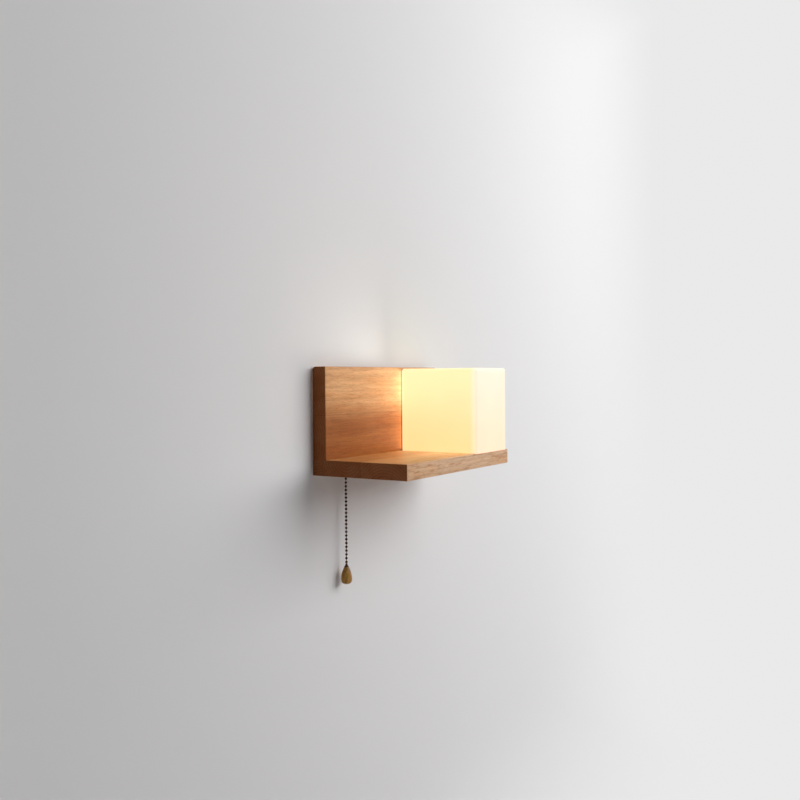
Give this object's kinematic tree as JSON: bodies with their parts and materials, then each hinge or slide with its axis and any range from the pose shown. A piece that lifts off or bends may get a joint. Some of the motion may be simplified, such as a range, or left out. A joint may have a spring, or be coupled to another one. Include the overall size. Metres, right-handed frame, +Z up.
{
  "type": "wall lamp",
  "caption": "Wall lamp with a wooden shelf and back board forming an L, a glowing opal glass box shade on the shelf's right end and a ball-chain pull switch near its left end.",
  "frame": {"origin": "middle of the two keyholes' entry holes, on the wall plane at the lamp's rear", "axes": "+Z up, +Y into the wall, +X to the right when seen from the front; the shelf stands out to -Y"},
  "size_m": [0.3, 0.152, 0.3097],
  "materials": {
    "board_wood": "satin varnish over edge-glued strips",
    "dowel_wood": "plain beech",
    "knob_wood": "turned, dark stained, satin varnish",
    "plate_steel": "zinc plated sheet",
    "screw_steel": "zinc plated",
    "grommet_rubber": "matt black",
    "terminal_nylon": "natural nylon",
    "switch_moulding": "dark brown moulding",
    "plunger_nylon": "white nylon",
    "spring_steel": "bright spring wire and strip",
    "brass": "bright machined",
    "chain_bronze": "antique bronze, darkened",
    "opal_glass": "opal white, polished, lit warm from inside",
    "tray_paint": "white enamel, satin",
    "porcelain": "white glaze",
    "cap_nickel": "nickel plated, satin",
    "insulator_black": "black",
    "bulb_housing": "white",
    "bulb_diffuser": "opal white diffuser, lit",
    "wire_brown": "insulation",
    "wire_black": "insulation",
    "wire_blue": "insulation",
    "wire_green": "insulation, green with yellow"
  },
  "bodies": {
    "frame": {"shelf_board": "board_wood", "back_board": "board_wood", "joint_dowels": "dowel_wood", "joint_screws": "screw_steel", "wall_plate": "plate_steel", "wall_plate_screws": "screw_steel", "cable_grommet": "grommet_rubber", "terminal_block": "terminal_nylon", "terminal_screws": "brass", "terminal_fixings": "screw_steel", "switch_case": "switch_moulding", "switch_cover": "switch_moulding", "ratchet_drum": "plunger_nylon", "switch_spring": "spring_steel", "switch_contacts": "brass", "switch_nipple": "brass", "nipple_nut": "brass", "shade_tray": "tray_paint", "tray_screws": "screw_steel", "shade_springs": "spring_steel", "lampholder_body": "porcelain", "lampholder_shell": "brass", "lampholder_contact": "brass", "lampholder_screws": "screw_steel", "wire_live": "wire_brown", "wire_switched": "wire_black", "wire_neutral": "wire_blue", "wire_earth": "wire_green", "earth_tag": "brass", "earth_screw": "brass"},
    "puller": {"switch_plunger": "plunger_nylon", "chain_top": "chain_bronze"},
    "chain_link": {"chain_swivel": "chain_bronze"},
    "chain_and_knob": {"chain_drop": "chain_bronze", "chain_bell": "chain_bronze", "pull_knob": "knob_wood"},
    "shade": {"glass_shade": "opal_glass"},
    "bulb": {"bulb_tip": "cap_nickel", "bulb_insulator": "insulator_black", "bulb_cap": "cap_nickel", "bulb_housing": "bulb_housing", "bulb_globe": "bulb_diffuser"}
  },
  "joints": [
    {"name": "pull", "type": "slide", "parent": "frame", "child": "puller", "axis": [0, 0, -1], "range_m": [0, 0.009], "stiffness_N_per_m": 800, "springref_m": -0.005, "deforming": ["switch_spring"]},
    {"name": "chain_swing_side", "type": "hinge", "parent": "puller", "child": "chain_link", "pos_m": [-0.089, -0.0115, -0.1046], "axis": [0, 1, 0], "range_deg": [-30, 30]},
    {"name": "chain_swing_out", "type": "hinge", "parent": "chain_link", "child": "chain_and_knob", "pos_m": [-0.089, -0.0115, -0.1046], "axis": [-1, 0, 0], "range_deg": [-1.2, 40]},
    {"name": "shade_lift", "type": "slide", "parent": "frame", "child": "shade", "axis": [0, 0, 1], "range_m": [0, 0.13]},
    {"name": "bulb_turn", "type": "hinge", "parent": "frame", "child": "bulb", "pos_m": [0.0945, -0.08705, -0.0314], "axis": [0, 0, 1], "range_deg": [0, 1080]}
  ]
}
